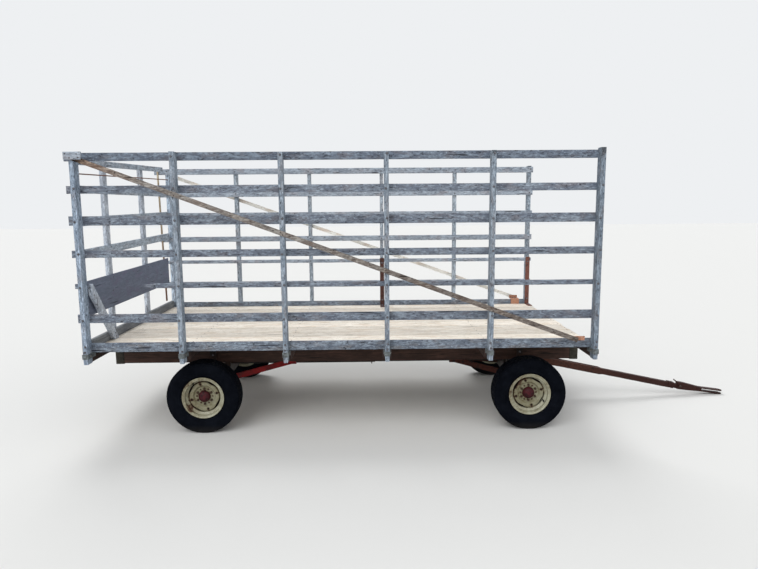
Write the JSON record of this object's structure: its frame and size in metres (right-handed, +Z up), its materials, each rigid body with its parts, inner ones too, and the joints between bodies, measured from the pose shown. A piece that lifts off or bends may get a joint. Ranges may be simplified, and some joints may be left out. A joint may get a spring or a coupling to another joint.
{
  "type": "hay wagon",
  "caption": "Four-wheel farm wagon with a slatted wooden hay rack, automotive steering and a tongue.",
  "frame": {"origin": "on the ground under the middle of the whole wagon's box, tongue included", "axes": "+X forward to the tongue, +Y to the wagon's left, +Z up"},
  "size_m": [7.0332, 2.658, 2.772],
  "materials": {
    "deck_wood": "weathered",
    "frame_wood": "weathered",
    "header_wood": "weathered",
    "rack_wood": "weathered",
    "panel_wood": "weathered",
    "brace_grey": "weathered",
    "brace_pale": "weathered",
    "strap_iron": "weathered",
    "rusty_iron": "rusty",
    "gear_steel": "worn",
    "gear_red": "worn",
    "bolt_steel": "worn",
    "tongue_rust": "rusty",
    "tyre_rubber": "worn",
    "rim_paint": "worn",
    "hub_paint": "worn"
  },
  "bodies": {
    "wagon": {"deck_boards": "deck_wood", "cross_sills": "frame_wood", "long_sills": "frame_wood", "sill_headers": "header_wood", "rack_posts": "rack_wood", "post_straps": "strap_iron", "side_boards": "rack_wood", "slats_left": "rack_wood", "slats_right": "rack_wood", "corner_cleats": "rack_wood", "brace_right": "brace_grey", "brace_left": "brace_pale", "brace_feet": "rusty_iron", "rear_uprights": "rack_wood", "rear_rails": "rack_wood", "rear_panel": "panel_wood", "rear_curb": "rack_wood", "rear_tie_rod": "rusty_iron", "corner_lath": "rusty_iron", "kick_brace": "rack_wood", "stake_irons": "rusty_iron", "bolsters": "gear_steel", "axle_stands": "gear_steel", "reach_tube": "gear_steel", "reach_pole": "gear_steel", "reach_pin": "bolt_steel", "rear_hounds": "gear_red", "front_hounds": "gear_steel", "rear_axle": "gear_steel", "front_axle": "gear_steel", "king_bolt": "bolt_steel"},
    "knuckle_right": {"knuckle_right": "gear_steel"},
    "tie_rod_right": {"tie_rod_right": "gear_steel"},
    "knuckle_left": {"knuckle_left": "gear_steel"},
    "tie_rod_left": {"tie_rod_left": "gear_steel"},
    "steering_yoke": {"steering_yoke": "gear_steel"},
    "tongue": {"tongue_tube": "tongue_rust", "tongue_side_bars": "tongue_rust", "hitch_bar": "tongue_rust", "tongue_latch": "tongue_rust"},
    "wheel_rear_right": {"tyre_rear_right": "tyre_rubber", "rim_rear_right": "rim_paint", "hub_rear_right": "hub_paint"},
    "wheel_rear_left": {"tyre_rear_left": "tyre_rubber", "rim_rear_left": "rim_paint", "hub_rear_left": "hub_paint"},
    "wheel_front_right": {"tyre_front_right": "tyre_rubber", "rim_front_right": "rim_paint", "hub_front_right": "hub_paint"},
    "wheel_front_left": {"tyre_front_left": "tyre_rubber", "rim_front_left": "rim_paint", "hub_front_left": "hub_paint"}
  },
  "joints": [
    {"name": "steering", "type": "hinge", "parent": "wagon", "child": "steering_yoke", "pos_m": [1.05322, 0, 0.329], "axis": [0, 0, 1], "range_deg": [-38, 38]},
    {"name": "kingpin_right", "type": "hinge", "parent": "wagon", "child": "knuckle_right", "pos_m": [0.93322, -0.72, 0.364], "axis": [0, 0, 1], "range_deg": [-38, 38]},
    {"name": "tie_rod_pin_right", "type": "hinge", "parent": "knuckle_right", "child": "tie_rod_right", "pos_m": [1.09322, -0.78, 0.316], "axis": [0, 0, 1], "range_deg": [-38, 38]},
    {"name": "kingpin_left", "type": "hinge", "parent": "wagon", "child": "knuckle_left", "pos_m": [0.93322, 0.72, 0.364], "axis": [0, 0, 1], "range_deg": [-38, 38]},
    {"name": "tie_rod_pin_left", "type": "hinge", "parent": "knuckle_left", "child": "tie_rod_left", "pos_m": [1.09322, 0.78, 0.316], "axis": [0, 0, 1], "range_deg": [-38, 38]},
    {"name": "tongue_lift", "type": "hinge", "parent": "steering_yoke", "child": "tongue", "pos_m": [1.27822, 0, 0.462], "axis": [0, -1, 0], "range_deg": [0, 24]},
    {"name": "wheel_spin_rear_right", "type": "hinge", "parent": "wagon", "child": "wheel_rear_right", "pos_m": [-2.34678, -0.965, 0.364], "axis": [0, 1, 0], "continuous": true},
    {"name": "wheel_spin_rear_left", "type": "hinge", "parent": "wagon", "child": "wheel_rear_left", "pos_m": [-2.34678, 0.965, 0.364], "axis": [0, 1, 0], "continuous": true},
    {"name": "wheel_spin_front_right", "type": "hinge", "parent": "knuckle_right", "child": "wheel_front_right", "pos_m": [0.93322, -0.965, 0.364], "axis": [0, 1, 0], "continuous": true},
    {"name": "wheel_spin_front_left", "type": "hinge", "parent": "knuckle_left", "child": "wheel_front_left", "pos_m": [0.93322, 0.965, 0.364], "axis": [0, 1, 0], "continuous": true}
  ],
  "couplings": [
    {"joint": "kingpin_right", "follows": "steering", "ratio": 1},
    {"joint": "tie_rod_pin_right", "follows": "steering", "ratio": -1},
    {"joint": "kingpin_left", "follows": "steering", "ratio": 1},
    {"joint": "tie_rod_pin_left", "follows": "steering", "ratio": -1}
  ]
}
